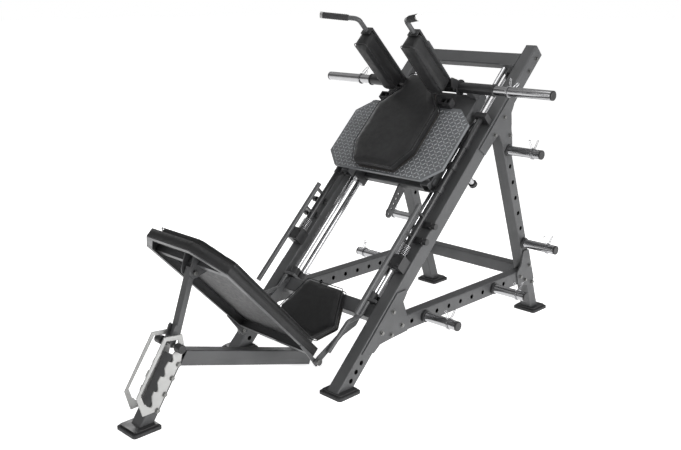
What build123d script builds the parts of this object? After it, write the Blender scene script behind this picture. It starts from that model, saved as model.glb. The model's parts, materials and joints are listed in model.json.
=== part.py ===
"""Leg press and hack squat machine, modelled as its separate pieces.

Millimetres, +Z up.  +X is the machine's right side, +Y runs from the backrest to the rear feet.
The origin is at the middle of the footprint, on the floor.
The slope frame has X across, depth behind the rails' front faces, and height along the slope.
"""
import os
from math import cos, radians, sin, sqrt, tan

from build123d import *

os.makedirs("parts", exist_ok=True)

# ---------------------------------------------------------------- driving dimensions
WALL = 3.0                      # steel tube wall
CORNER = 6.0                    # outer corner radius of the square tubes
HALF_WIDTH = 410.0              # outer face of rails, uprights and base rails
RAIL_W, RAIL_D = 70.0, 80.0     # main rail section: across, and along the slope's depth
RAIL_LENGTH = 2200.0            # along the slope, from the floor line to the top cap
SLOPE = 45.0                    # rail angle
INNER = HALF_WIDTH - RAIL_W     # inner face of rails and uprights

FRONT_END, REAR_END = -852.0, 1773.0     # ends of the footprint, from where the rail line meets the floor
Y_SHIFT = -(FRONT_END + REAR_END) / 2    # brings the origin to the middle of the footprint

SHOE_H, SHOE_R, FOOT_PLATE_T = 16.0, 14.0, 8.0
FOOT_TOP = SHOE_H + FOOT_PLATE_T
FOOT_SIZE = 144.0

UPRIGHT_LEAN = 20.1             # uprights lean back towards the rails
UPRIGHT_W, UPRIGHT_D = 70.0, 68.0
UPRIGHT_HORN_TOP = (1325.0, 1011.0)      # y, z of the upper horn on each upright
HOLE_PITCH, HOLE_D = 100.0, 25.0
BASE_W, BASE_H, BASE_Z = 60.0, 80.0, 243.0
BASE_FIRST_HOLE_Y = 554.0

HORN_D, HORN_LENGTH, HORN_CAP_T = 50.0, 206.0, 10.0
FLANGE_D, FLANGE_T = 64.0, 14.0

ROD_X, ROD_D = 283.0, 30.0
ROD_DEPTHS = (12.0, 68.0)
ROD_LOW, ROD_HIGH = 530.0, 2041.0

SPINE_LEAN = 17.2               # spine tube drops towards the seat
SPINE_START = (-556.0, 271.0)   # y, z of its axis at the front post
POST_LEAN = 34.0
RACK_X, RACK_T = 44.0, 6.0
PIN_TOP = (-602.0, 343.0)       # y, z of the strut pin in the highest notch
PIN_D = 16.0
STRUT_PIVOT = (-478.0, 648.0)   # y, z of the pivot at the top of the strut
TRAY_HINGE = (20.0, 150.0)      # y, z of the backrest hinge
TILT = 21.7                     # degrees from the highest notch to the lowest one
STRUT_SWING = -2.1              # degrees that the strut turns meanwhile

TRAY_ANGLE = 46.3
TRAY_BASE = (-20.6, 200.0)      # a point of the tray's underside plane
TRAY_WALL = 46.0
STRUT_BOLT_D, HINGE_PIN_D = 14.0, 20.0
TRAY_SHEET = 3.0

PLATE_DEPTH = -145.0            # front face of the push plate
PLATE_T, PLATE_RIM = 5.0, 16.0
SLEEVE_AXIS = (1766.0, -136.0)  # along the slope, depth
SLEEVE_D, SLEEVE_START, SLEEVE_END = 50.0, 431.0, 766.0
SHAFT_X, SHAFT_DEPTH, SHAFT_D = 358.0, -40.0, 34.0
LEVER_DEPTH, LEVER_D = -113.0, 26.0

BOLT_HEAD_D, BOLT_HEAD_H, BOLT_D = 19.0, 8.0, 12.0
WASHER_D, WASHER_T = 24.0, 2.0

# ---------------------------------------------------------------- frames and basic solids
FLOOR = Location((0, Y_SHIFT, 0))
S45, C45 = sin(radians(SLOPE)), cos(radians(SLOPE))
SLOPE_FRAME = Plane(origin=(0, Y_SHIFT, 0), x_dir=(1, 0, 0), z_dir=(0, C45, S45)).location


def on_floor(shape):
    """Place a solid drawn in the floor frame."""
    return shape.moved(FLOOR)


def on_slope(shape):
    """Place a solid drawn as (x, depth, along) in the slope frame."""
    return shape.moved(SLOPE_FRAME)


def box(x0, x1, y0, y1, z0, z1):
    return Box(x1 - x0, y1 - y0, z1 - z0).moved(Location(((x0 + x1) / 2, (y0 + y1) / 2, (z0 + z1) / 2)))


def rod(start, end, diameter, bore=0.0):
    """A round bar or tube between two points."""
    axis = Vector(*end) - Vector(*start)
    plane = Plane(origin=start, z_dir=axis)
    profile = Circle(diameter / 2)
    if bore:
        profile -= Circle(bore / 2)
    return extrude(plane * profile, axis.length)


def square_tube(start, end, across, depth, x_dir=(1, 0, 0), wall=WALL, corner=CORNER):
    """A hollow rectangular tube between two points; across is measured along x_dir."""
    axis = Vector(*end) - Vector(*start)
    plane = Plane(origin=start, x_dir=x_dir, z_dir=axis)
    inner = max(corner - wall, 1.0)
    profile = RectangleRounded(across, depth, corner)
    profile -= RectangleRounded(across - 2 * wall, depth - 2 * wall, inner)
    return extrude(plane * profile, axis.length)


def side_plate(points, x0, x1):
    """A flat plate from x0 to x1 with its outline given as (y, z) points."""
    plane = Plane(origin=(x0, 0, 0), x_dir=(0, 1, 0), z_dir=(1, 0, 0))
    return extrude(plane * make_face(Polyline(*points, close=True)), x1 - x0)


def keep_side(shape, point, normal):
    """Cut a solid by a plane and keep what lies on the normal's side."""
    return split(shape, bisect_by=Plane(origin=point, z_dir=normal), keep=Keep.TOP)


def slope_yz(along, depth):
    """Floor-frame (y, z) of a place given in the slope frame."""
    return C45 * along + S45 * depth, S45 * along - C45 * depth


def mirrored(shapes):
    """The same solids on the left side of the machine."""
    return [mirror(shape, Plane.YZ) for shape in shapes]


def both_sides(shapes):
    return list(shapes) + mirrored(shapes)


def bolt(x, y, z, grip, side=1):
    """Hex bolt along X: head and washer outside the face at x, shank reaching grip inwards."""
    out = side
    washer = rod((x, y, z), (x + out * WASHER_T, y, z), WASHER_D)
    plane = Plane(origin=(x + out * WASHER_T, y, z), z_dir=(out, 0, 0))
    head = extrude(plane * RegularPolygon(BOLT_HEAD_D / 2, 6), BOLT_HEAD_H)
    shank = rod((x - out * grip, y, z), (x, y, z), BOLT_D)
    return shank + washer + head


def x_holes(shape, places, diameter, x0=-900, x1=900):
    """Drill holes along X at (y, z) places."""
    for y, z in places:
        shape -= rod((x0, y, z), (x1, y, z), diameter)
    return shape


def save(name, shapes):
    """Write one sub-part as parts/NAME.step, its separate solids together."""
    solids = []
    for shape in shapes if isinstance(shapes, (list, tuple)) else [shapes]:
        solids.extend(shape.solids())
    export_step(Compound(children=solids) if len(solids) > 1 else solids[0], f"parts/{name}.step")


# ---------------------------------------------------------------- places worked out from the dimensions
LEAN_TAN = tan(radians(UPRIGHT_LEAN))
UPRIGHT_DIR = (sin(radians(-UPRIGHT_LEAN)), cos(radians(UPRIGHT_LEAN)))


def upright_axis_y(z):
    """Y of the upright's centre line at a height."""
    return UPRIGHT_HORN_TOP[0] - (z - UPRIGHT_HORN_TOP[1]) * LEAN_TAN


def upright_place(step):
    """(y, z) of the upright's hole number step, counted down from the upper horn."""
    drop = HOLE_PITCH * step
    return UPRIGHT_HORN_TOP[0] - UPRIGHT_DIR[0] * drop, UPRIGHT_HORN_TOP[1] - UPRIGHT_DIR[1] * drop


def base_place(step):
    return BASE_FIRST_HOLE_Y + HOLE_PITCH * step, BASE_Z


UPRIGHT_HORNS = (0, 6)
BASE_HORNS = (1, 7)
HORN_PLACES = [upright_place(i) for i in UPRIGHT_HORNS] + [base_place(i) for i in BASE_HORNS]
LOWER_BOLTS = [(403, 332), (468, 246), (321, 246), (391, 216)]
UPPER_BOLTS = [(1268, 1195), (1189, 1108), (1329, 1092)]
REAR_BOLTS = [(1596, 302), (1510, 250), (1634, 192), (1560, 222)]
TOP_BOLTS = [slope_yz(along, 52) for along in (2060, 2150)]


def turned(y, z, degrees_up):
    """A (y, z) vector turned about +X."""
    c, s = cos(radians(degrees_up)), sin(radians(degrees_up))
    return y * c - z * s, y * s + z * c


def pin_place(share, down=0.0, back=0.0):
    """(y, z) of the strut pin at a share of the tilt, moved down along the rack and back into it."""
    arm = turned(STRUT_PIVOT[0] - TRAY_HINGE[0], STRUT_PIVOT[1] - TRAY_HINGE[1], TILT * share)
    leg = turned(PIN_TOP[0] - STRUT_PIVOT[0], PIN_TOP[1] - STRUT_PIVOT[1], STRUT_SWING * share)
    dy, dz = -0.597, -0.802
    y = TRAY_HINGE[0] + arm[0] + leg[0] + down * dy - back * dz
    z = TRAY_HINGE[1] + arm[1] + leg[1] + down * dz + back * dy
    return y, z


# ---------------------------------------------------------------- main frame
def main_rail():
    """One sloping rail, cut level at its foot plate, with its row of lower holes."""
    x = HALF_WIDTH - RAIL_W / 2
    tube = square_tube((x, RAIL_D / 2, -80), (x, RAIL_D / 2, RAIL_LENGTH), RAIL_W, RAIL_D)
    end_cap = box(INNER + WALL, HALF_WIDTH - WALL, WALL, RAIL_D - WALL, RAIL_LENGTH - WALL, RAIL_LENGTH)
    rail = keep_side(on_slope(tube + end_cap), (0, 0, FOOT_TOP), (0, 0, 1))
    holes = [slope_yz(along, RAIL_D / 2) for along in (124, 174, 224)]
    rail = x_holes(rail, [(y + Y_SHIFT, z) for y, z in holes], HOLE_D)
    return x_holes(rail, [(y + Y_SHIFT, z) for y, z in TOP_BOLTS], BOLT_D + 0.6, HALF_WIDTH - 10)


def base_rail():
    """Level rail with a row of holes, between the main rail and the upright."""
    x = HALF_WIDTH - BASE_W / 2
    rail = square_tube((x, 200, BASE_Z), (x, 1700, BASE_Z), BASE_W, BASE_H)
    rail = keep_side(rail, (0, *slope_yz(0, RAIL_D)), (0, S45, -C45))
    front = (0, upright_axis_y(BASE_Z) - UPRIGHT_D / 2 / cos(radians(UPRIGHT_LEAN)), BASE_Z)
    rail = keep_side(rail, front, (0, -UPRIGHT_DIR[1], UPRIGHT_DIR[0]))
    return on_floor(x_holes(rail, [base_place(i) for i in range(9)], HOLE_D))


def upright():
    """Leaning rear upright with a row of holes, mitred to the underside of the rail."""
    x = HALF_WIDTH - UPRIGHT_W / 2
    low, high = (x, upright_axis_y(0), 0), (x, upright_axis_y(1400), 1400)
    post = square_tube(low, high, UPRIGHT_W, UPRIGHT_D)
    post = keep_side(post, (0, 0, FOOT_TOP), (0, 0, 1))
    post = keep_side(post, (0, *slope_yz(0, RAIL_D)), (0, S45, -C45))
    return on_floor(x_holes(post, [upright_place(i) for i in range(7)], HOLE_D))


def rear_cross_member():
    return on_floor(square_tube((-INNER, 1600, 262), (INNER, 1600, 262), 70, 70, x_dir=(0, 1, 0)))


def top_cross_member():
    """Wide flat tube across the top of the rails."""
    return on_slope(square_tube((-INNER, 20, 2098), (INNER, 20, 2098), 40, 86, x_dir=(0, 1, 0)))


def seat_cross_member():
    return on_slope(square_tube((-INNER, 45, 478), (INNER, 45, 478), 70, 76, x_dir=(0, 1, 0)))


def seat_carrier_tube():
    """Tube under the seat, from the seat cross member down to the spine."""
    tube = square_tube((0, 45, 176), (0, 45, 440), 70, 60)
    return on_slope(tube)


def spine_direction():
    return cos(radians(SPINE_LEAN)), -sin(radians(SPINE_LEAN))


def spine_tube():
    """Spine between the front post and the seat carrier."""
    dy, dz = spine_direction()
    y, z = SPINE_START
    tube = square_tube((0, y - 60 * dy, z - 60 * dz), (0, y + 800 * dy, z + 800 * dz), 70, 72)
    post_rear = (0, cos(radians(POST_LEAN)), -sin(radians(POST_LEAN)))
    tube = keep_side(tube, (0, *post_point(0, POST_REAR)), post_rear)
    return on_floor(keep_side(tube, (0, *slope_yz(176, 0)), (0, -C45, -S45)))


POST_FRONT, POST_REAR = 12.0, 74.0
POST_FOOT_Y = -830.0            # where the post's measuring line meets the floor


def post_direction():
    return sin(radians(POST_LEAN)), cos(radians(POST_LEAN))


def post_point(along, offset):
    """(y, z) of a place on the front post: along it, and offset behind its measuring line."""
    dy, dz = post_direction()
    return POST_FOOT_Y + along * dy + offset * dz, along * dz - offset * dy


POST_LENGTH = 372.0


def front_post():
    """Leaning front post that carries the notched rack plates."""
    middle = (POST_FRONT + POST_REAR) / 2
    depth = POST_REAR - POST_FRONT
    post = square_tube((0, *post_point(-40, middle)), (0, *post_point(POST_LENGTH, middle)), 70, depth)
    cap = Plane(origin=(0, *post_point(POST_LENGTH - WALL, middle)), x_dir=(1, 0, 0),
                z_dir=(0, *post_direction()))
    post += extrude(cap * RectangleRounded(70 - 2 * WALL, depth - 2 * WALL, CORNER - WALL), WALL)
    return on_floor(keep_side(post, (0, 0, FOOT_TOP), (0, 0, 1)))


def spacer_ring(y, z):
    return rod((35, y, z), (RACK_X, y, z), 24, BOLT_D + 0.6)


RACK_BOLTS = [post_point(along, (POST_FRONT + POST_REAR) / 2 + 4) for along in (130, 205, 280, 345)]


NOTCH_SHARES = (0.22, 0.48, 0.74, 1.0)   # where the lower notches lie along the pin's way


def rack_plate():
    """Laser-cut rack plate: a window with notches along its rear side for the strut pin."""
    outline = [(-790, 78), (-714, 79), (-583, 275), (-561, 340), (-568, 391), (-660, 401), (-814, 169)]
    plate = side_plate(outline, RACK_X, RACK_X + RACK_T)
    clear = PIN_D / 2 + 1.5
    lane = [pin_place(step / 8, back=clear) for step in range(9)]
    upper, lower = [(-590, 372), (-590, 338)], [(-779, 128), (-794, 177), (-651, 383)]
    window = side_plate(upper + lane + lower, 0, 90)
    window += rod((0, *pin_place(1)), (90, *pin_place(1)), 2 * clear)
    for share in NOTCH_SHARES:
        window += rod((0, *pin_place(share, 3, 20)), (90, *pin_place(share, 3, 20)), 18)
        corners = ((12, 20), (12, 0), (-40, 0), (-4, 27))
        window += side_plate([pin_place(share, down, back) for down, back in corners], 0, 90)
    return on_floor(x_holes(plate - window, RACK_BOLTS, BOLT_D + 0.6))


# ---------------------------------------------------------------- gussets, feet and fasteners
GUSSET_T = 8.0


def arc_notch(y, z, radius):
    """Round cutter along X that gives a gusset its hollow corner."""
    return rod((300, y, z), (500, y, z), 2 * radius)


def gusset_plates():
    """Lower, upper and rear gusset plates outside one side of the frame."""
    rail = slope_yz
    lower = [rail(255, 9), rail(602, 9), rail(652, 54), rail(640, 70), rail(596, 78), (509, 283), (512, 205),
             (391, 198), (308, 190), rail(300, 76)]
    upper = [rail(1490, 9), rail(1868, 12), rail(1846, 70), rail(1800, 86), (1341, 1150), (1357, 1037),
             (1293, 1012), rail(1652, 84), rail(1600, 76), rail(1500, 70)]
    rear = [(1530, 402), (1583, 399), (1652, 212), (1640, 168), (1494, 204), (1474, 275), (1512, 318)]
    plates = [side_plate(points, HALF_WIDTH, HALF_WIDTH + GUSSET_T) for points in (lower, upper, rear)]
    plates[0] -= arc_notch(560, 352, 56)
    plates[1] -= arc_notch(1446, 1140, 106)
    plates = [x_holes(plate, LOWER_BOLTS + UPPER_BOLTS + REAR_BOLTS, BOLT_D + 0.6) for plate in plates]
    plates = [x_holes(plate, HORN_PLACES, FLANGE_D + 2) for plate in plates]
    return [on_floor(plate) for plate in plates]


def gusset_bolts():
    x = HALF_WIDTH + GUSSET_T
    return [on_floor(bolt(x, y, z, GUSSET_T)) for y, z in LOWER_BOLTS + UPPER_BOLTS + REAR_BOLTS]


def top_bolts():
    """Bolts that hold the top cross member through the rails' outer faces."""
    return [on_floor(bolt(HALF_WIDTH, y, z, WALL)) for y, z in TOP_BOLTS]


FOOT_CENTRES = [(HALF_WIDTH - RAIL_W / 2, 77), (HALF_WIDTH - UPRIGHT_W / 2, 1701)]
POST_FOOT_CENTRE = (0, -780)


def foot_places():
    return FOOT_CENTRES + [(-x, y) for x, y in FOOT_CENTRES] + [POST_FOOT_CENTRE]


def foot_shoe(x, y):
    """Rubber shoe with a shallow recess that the steel foot plate sits in."""
    shoe = extrude(Plane((x, y, 0)) * RectangleRounded(FOOT_SIZE, FOOT_SIZE, SHOE_R), SHOE_H)
    return on_floor(chamfer(shoe.edges().group_by(Axis.Z)[-1], 3))


def foot_plate(x, y):
    size = FOOT_SIZE - 22
    plate = Plane((x, y, SHOE_H)) * RectangleRounded(size, size, SHOE_R - 4)
    return on_floor(extrude(plate, FOOT_PLATE_T))


def guide_rod(depth):
    return on_slope(rod((ROD_X, depth, ROD_LOW), (ROD_X, depth, ROD_HIGH), ROD_D))


def rod_bracket(along, reach, depth0, depth1):
    """Flat bracket from the rail's inner face that holds the end of both guide rods."""
    plate = box(ROD_X - 26, INNER, depth0, depth1, along, along + reach)
    return on_slope(plate)


def rod_bumper(depth):
    """Rubber bumper around the foot of a guide rod."""
    return on_slope(rod((ROD_X, depth, ROD_LOW), (ROD_X, depth, ROD_LOW + 40), 48, ROD_D))


def horn_flange(y, z):
    return on_floor(rod((HALF_WIDTH, y, z), (HALF_WIDTH + FLANGE_T, y, z), FLANGE_D))


def storage_horn(y, z):
    """Chromed tube for spare weight plates."""
    start, end = (HALF_WIDTH + FLANGE_T, y, z), (HALF_WIDTH + HORN_LENGTH, y, z)
    return on_floor(rod(start, end, HORN_D, HORN_D - 6))


def end_cap(x, y, z, diameter, thickness):
    cap = rod((x, y, z), (x + thickness, y, z), diameter)
    return fillet(cap.edges().group_by(Axis.X)[-1], 3)


def spring_collar(x, y, z):
    """Wire spring collar: two coils round the bar and two finger loops."""
    coil = rod((x, y, z), (x + 9, y, z), SLEEVE_D + 11, SLEEVE_D + 0.8)
    loops = []
    for lean in (-1, 1):
        foot = Vector(x + 4.5, y + lean * 6, z + SLEEVE_D / 2 + 3.2)
        top = foot + Vector(lean * 16, lean * 4, 44)
        out = foot + Vector(0, lean * 15, 0)
        path = FilletPolyline(foot, top, top + Vector(0, lean * 14, 0), out, radius=6)
        loops.append(sweep(Plane(origin=foot, z_dir=path % 0) * Circle(1.9), path=path))
    return coil + loops[0] + loops[1]


# ---------------------------------------------------------------- seat and backrest
SEAT_TOP, SEAT_PAD_T, SEAT_BOARD_T = -38.0, 48.0, 5.0


def slope_plate(points, depth0, depth1):
    """Plate lying along the slope, its outline given as (x, along) points."""
    plane = Plane(origin=(0, depth1, 0), x_dir=(1, 0, 0), z_dir=(0, -1, 0))
    return extrude(plane * make_face(Polyline(*points, close=True)), depth1 - depth0)


def symmetric(half):
    """Close an outline given as its right half, listed upwards."""
    return half + [(-x, along) for x, along in reversed(half)]


SEAT_HALF = [(120, 232), (206, 325), (128, 525)]


def seat_pad():
    return on_slope(slope_plate(symmetric(SEAT_HALF), SEAT_TOP, SEAT_TOP + SEAT_PAD_T - 0.3))


def seat_board():
    """Board under the seat pad, in front of the seat cross member."""
    inset = [(112, 242), (194, 325), (150, 440)]
    front = SEAT_TOP + SEAT_PAD_T
    return on_slope(slope_plate(symmetric(inset), front, front + SEAT_BOARD_T))


def hinge_side_plate():
    """Side plate from the seat cross member forward to the backrest hinge."""
    hinge_y, hinge_z = TRAY_HINGE
    outline = [slope_yz(440, 7), slope_yz(516, 10), slope_yz(470, -16), slope_yz(330, -52),
               (hinge_y - 4, hinge_z + 24), (hinge_y - 22, hinge_z + 6), (hinge_y - 14, hinge_z - 20),
               slope_yz(200, -62), slope_yz(300, -34), slope_yz(380, 10)]
    plate = side_plate(outline, 281, 289)
    return x_holes(plate, [TRAY_HINGE], HINGE_PIN_D)


def hinge_pins():
    """Shoulder bolts that the backrest turns on."""
    y, z = TRAY_HINGE
    pin = rod((262, y, z), (289, y, z), HINGE_PIN_D) + rod((289, y, z), (299, y, z), 32)
    return [on_floor(shape) for shape in both_sides([pin])]


def seat_handle():
    """Bent tube handle beside the seat, welded to the hinge side plate."""
    a, b = slope_yz(508, -14), slope_yz(424, -14)
    c, d = slope_yz(362, -66), slope_yz(186, -78)
    x = 300.0
    path = FilletPolyline((x, *a), (x, *b), (x, *c), (x, *d), radius=26)
    return on_floor(sweep(Plane(origin=(x, *a), z_dir=path % 0) * Circle(11), path=path))


TRAY_UP = (-cos(radians(TRAY_ANGLE)), sin(radians(TRAY_ANGLE)))
TRAY_FRAME = Plane(origin=(0, TRAY_BASE[0] + Y_SHIFT, TRAY_BASE[1]), x_dir=(1, 0, 0),
                   z_dir=(0, sin(radians(TRAY_ANGLE)), cos(radians(TRAY_ANGLE)))).location
# in the tray frame Y runs down the tray, so lengths up the tray are negative
TRAY_HALF = [(272, 32), (296, -700), (152, -828)]


def tray_outline(half, height0, height1):
    points = half + [(-x, y) for x, y in reversed(half)]
    return extrude(Plane((0, 0, height0)) * make_face(Polyline(*points, close=True)), height1 - height0)


def in_tray(shape):
    return shape.moved(TRAY_FRAME)


def backrest_tray():
    """Folded sheet pan under the backrest pad, open below, with a return flange all round."""
    pan = tray_outline(TRAY_HALF, 0, TRAY_WALL)
    inner = [(269, 29), (293, -698.6), (150.8, -825)]
    flange = [(252, 2), (266, -688), (136, -800)]
    pan -= tray_outline(inner, TRAY_SHEET, TRAY_WALL - TRAY_SHEET)
    pan -= tray_outline(flange, -1, TRAY_SHEET + 1)
    return in_tray(pan)


def tray_point(y, z):
    """Tray-frame (down, height) of a floor-frame (y, z) place."""
    dy, dz = y - TRAY_BASE[0], z - TRAY_BASE[1]
    return dy * -TRAY_UP[0] + dz * -TRAY_UP[1], dy * TRAY_UP[1] + dz * -TRAY_UP[0]


def tray_plate(outline, x0, x1):
    """Flat plate in the tray frame, its outline given as (down, height) points."""
    return side_plate(outline, x0, x1)


def strut_mount():
    """Upper cross channel of the tray with the two ears that the strut hangs between."""
    down, height = tray_point(*STRUT_PIVOT)
    top = TRAY_WALL - TRAY_SHEET
    mount = box(-290, 290, down - 15, down + 15, top - 30, top)
    outline = [(down - 62, top), (down + 62, top), (down + 24, height - 10), (down + 10, height - 22),
               (down - 10, height - 22), (down - 24, height - 10)]
    ear = tray_plate(outline, 29, 35)
    mount += ear + mirror(ear, Plane.YZ)
    mount -= rod((-60, down, height), (60, down, height), STRUT_BOLT_D)
    return in_tray(mount)


def strut_bolt():
    down, height = tray_point(*STRUT_PIVOT)
    head = rod((35, down, height), (44, down, height), 22)
    shank = rod((-44, down, height), (44, down, height), STRUT_BOLT_D)
    return in_tray(shank + head + mirror(head, Plane.YZ))


def hinge_ears():
    """Lugs at the tray's lower corners, with a running fit on the hinge pins."""
    down, height = tray_point(*TRAY_HINGE)
    outline = [(down - 20, height - 14), (down + 14, height - 20), (down + 24, height + 4),
               (20, 0), (-80, 0), (-80, -4)]
    lug = tray_plate(outline, 266, 276) - rod((200, down, height), (340, down, height), HINGE_PIN_D + 0.08)
    return both_sides([in_tray(lug)])


PAD_T = 36.0


def backrest_pad():
    half = [(232, 10), (266, -660), (140, -800)]
    return in_tray(tray_outline(half, TRAY_WALL + 0.3, TRAY_WALL + PAD_T))


# ---------------------------------------------------------------- strut
def strut():
    """Square strut with two ears at its foot for the cross pin."""
    (low_y, low_z), (top_y, top_z) = (PIN_TOP[0] + 17, PIN_TOP[1]), STRUT_PIVOT
    length = sqrt((top_y - low_y) ** 2 + (top_z - low_z) ** 2)
    dy, dz = (top_y - low_y) / length, (top_z - low_z) / length
    tube = square_tube((0, low_y, low_z), (0, top_y + 20 * dy, top_z + 20 * dz), 40, 30, corner=4)
    keep = (0, PIN_TOP[0] + 30, PIN_TOP[1] + 14)
    tube = keep_side(tube, keep, (0, -cos(radians(POST_LEAN)), sin(radians(POST_LEAN))))
    tube = keep_side(tube, (0, low_y, low_z + 30), (0, 0, 1))
    tube -= rod((-60, *STRUT_PIVOT), (60, *STRUT_PIVOT), STRUT_BOLT_D + 0.08)
    pin_y, pin_z = PIN_TOP
    outline = [(pin_y - 14, pin_z - 8), (pin_y + 6, pin_z - 14), (pin_y + 12, pin_z + 6),
               (low_y + 22, low_z + 70), (low_y + 6, low_z + 88), (low_y - 4, low_z + 80),
               (pin_y - 14, pin_z + 12)]
    ear = side_plate(outline, 20, 26) - rod((0, pin_y, pin_z), (60, pin_y, pin_z), PIN_D)
    return [on_floor(tube)], [on_floor(shape) for shape in both_sides([ear])]


def strut_pin():
    """Cross pin with a round knob at each end."""
    y, z = PIN_TOP
    pin = rod((-66, y, z), (66, y, z), PIN_D)
    knob = rod((54, y, z), (96, y, z), 40, PIN_D)
    knob = fillet(knob.edges().filter_by(GeomType.CIRCLE).group_by(SortBy.RADIUS)[-1], 4)
    knob += rod((66, y, z), (96, y, z), PIN_D)
    return [on_floor(pin)], [on_floor(shape) for shape in both_sides([knob])]


# ---------------------------------------------------------------- carriage
SIDE_X0, SIDE_X1 = 258.0, 308.0
FRAME_DEPTHS = (-78.0, -18.0)
HOUSINGS = ((1190, 1270), (1500, 1580))
BUSH_D, BUSH_BORE = 46.0, ROD_D + 0.1


def slope_tube(start, end, across, depth, x_dir=(1, 0, 0), **extra):
    return on_slope(square_tube(start, end, across, depth, x_dir=x_dir, **extra))


def carriage_frame():
    """Side tubes, cross beams under the push plate, tie, back plate, sleeve saddles and catch blocks."""
    middle = (SIDE_X0 + SIDE_X1) / 2
    depth = (FRAME_DEPTHS[0] + FRAME_DEPTHS[1]) / 2
    shapes = both_sides([slope_tube((middle, depth, 1172), (middle, depth, 1800), 50, 60)])
    beam = (PLATE_DEPTH + PLATE_T + FRAME_DEPTHS[0]) / 2
    height = FRAME_DEPTHS[0] - PLATE_DEPTH - PLATE_T
    for along in (1220, 1570):
        shapes.append(slope_tube((-318, beam, along), (318, beam, along), height, 50, x_dir=(0, 1, 0)))
    shapes.append(slope_tube((-257, 78, 1250), (257, 78, 1250), 40, 40, x_dir=(0, 1, 0)))
    along, axis = SLEEVE_AXIS
    saddle = box(262, 304, axis + 4, FRAME_DEPTHS[0], along - 30, along + 30)
    saddle -= rod((200, axis, along), (400, axis, along), 58)
    front = FRAME_DEPTHS[0]
    cover = box(-SIDE_X1, SIDE_X1, front - 6, front, 1600, 1735)
    cover += box(-SIDE_X0, SIDE_X0, front - 6, front, 1735, 1762)
    shapes.append(on_slope(cover))
    catch = box(SIDE_X1, SIDE_X1 + 9, -62, -34, 1196, 1232)
    return shapes + both_sides([on_slope(saddle), on_slope(catch)])


def bearing_housing(low, high):
    """Block that carries the linear bushes of both rods on one side."""
    block = box(257, 309, FRAME_DEPTHS[1], 98, low, high)
    block = fillet(block.edges().filter_by(Axis.Z), 4)
    for depth in ROD_DEPTHS:
        block -= rod((ROD_X, depth, low - 5), (ROD_X, depth, high + 5), BUSH_D)
    return on_slope(block)


def linear_bush(depth, low, high):
    return on_slope(rod((ROD_X, depth, low - 2), (ROD_X, depth, high + 2), BUSH_D, BUSH_BORE))


PLATE_HALF = [(302, 1157), (396, 1244), (396, 1534), (302, 1618)]
PLATE_INSET = [(299, 1162), (391, 1247), (391, 1531), (299, 1613)]


def push_plate():
    """Octagonal tread plate with a folded rim."""
    plate = slope_plate(symmetric(PLATE_HALF), PLATE_DEPTH, PLATE_DEPTH + PLATE_RIM)
    return on_slope(plate - slope_plate(symmetric(PLATE_INSET), PLATE_DEPTH + PLATE_T, PLATE_DEPTH + 30))


BACK_HALF = [(136, 1163), (204, 1291), (204, 1565), (150, 1632), (110, 1680), (104, 1782)]
BACK_BOARD_HALF = [(126, 1175), (190, 1295), (190, 1560), (142, 1620), (100, 1672), (96, 1732)]
BOARD_T, BACK_TOP = 10.0, -211.0
BACK_RELIEF = (1734.0, -168.0)  # the pad is thinner above this height, in front of the cross tube


def back_pad():
    pad = slope_plate(symmetric(BACK_HALF), BACK_TOP, PLATE_DEPTH - BOARD_T - 0.3)
    return on_slope(pad - box(-120, 120, BACK_RELIEF[1], 0, BACK_RELIEF[0], 1800))


def back_board():
    return on_slope(slope_plate(symmetric(BACK_BOARD_HALF), PLATE_DEPTH - BOARD_T, PLATE_DEPTH))


SHOULDER_X, SHOULDER_W = 161.0, 90.0
SHOULDER_ALONG = (1642.0, 1745.0)
SHOULDER_DEPTHS = (-577.0, -214.0)
BRACKET_T, BRACKET_W = 12.0, 60.0


def shoulder_pad():
    pad = box(SHOULDER_X - SHOULDER_W / 2, SHOULDER_X + SHOULDER_W / 2, *SHOULDER_DEPTHS, *SHOULDER_ALONG)
    front = pad.edges().filter_by(Axis.Y).group_by(Axis.Z)[0]
    return on_slope(fillet(front, 24))


def shoulder_bracket():
    """Flat bar behind a shoulder pad, saddled onto the cross tube, with an end plate for the handle."""
    low = SHOULDER_ALONG[1] + 0.3
    end = SHOULDER_DEPTHS[0] - 0.3
    side0, side1 = SHOULDER_X - BRACKET_W / 2, SHOULDER_X + BRACKET_W / 2
    bar = box(side0, side1, end, -140, low, low + BRACKET_T)
    bar += box(side0, side1, end - 6, end, low - 30, low + BRACKET_T)
    sleeve_along, sleeve_depth = SLEEVE_AXIS
    return on_slope(bar - rod((0, sleeve_depth, sleeve_along), (400, sleeve_depth, sleeve_along), 58))


def pad_clamp():
    """Black clamp beside a shoulder pad's foot: a lipped block on the plate's edge, and a side web."""
    block = box(172, 246, -186, PLATE_DEPTH, 1612, 1654) - box(180, 238, -190, -158, 1620, 1646)
    block += rod((209, -176, 1606), (209, -176, 1660), 9)
    outline = [(-200, 1716), (-232, 1738), (-232, 1752), (-186, 1776), (-168, 1776), (-168, 1716)]
    plane = Plane(origin=(207, 0, 0), x_dir=(0, 1, 0), z_dir=(1, 0, 0))
    web = extrude(plane * make_face(Polyline(*outline, close=True)), 6)
    foot = rod((207, SLEEVE_AXIS[1], SLEEVE_AXIS[0]), (213, SLEEVE_AXIS[1], SLEEVE_AXIS[0]), 84)
    foot -= rod((200, SLEEVE_AXIS[1], SLEEVE_AXIS[0]), (220, SLEEVE_AXIS[1], SLEEVE_AXIS[0]), 58)
    return [on_slope(block), on_slope(web + foot)]


HANDLE_D, GRIP_D = 25.0, 32.0
HANDLE_ROOT = (SHOULDER_X, -583.3, 1735.0)
HANDLE_KNEE = (SHOULDER_X, -670.0, 1735.0)
HANDLE_TIP = (335.0, -758.0, 1673.0)


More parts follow.
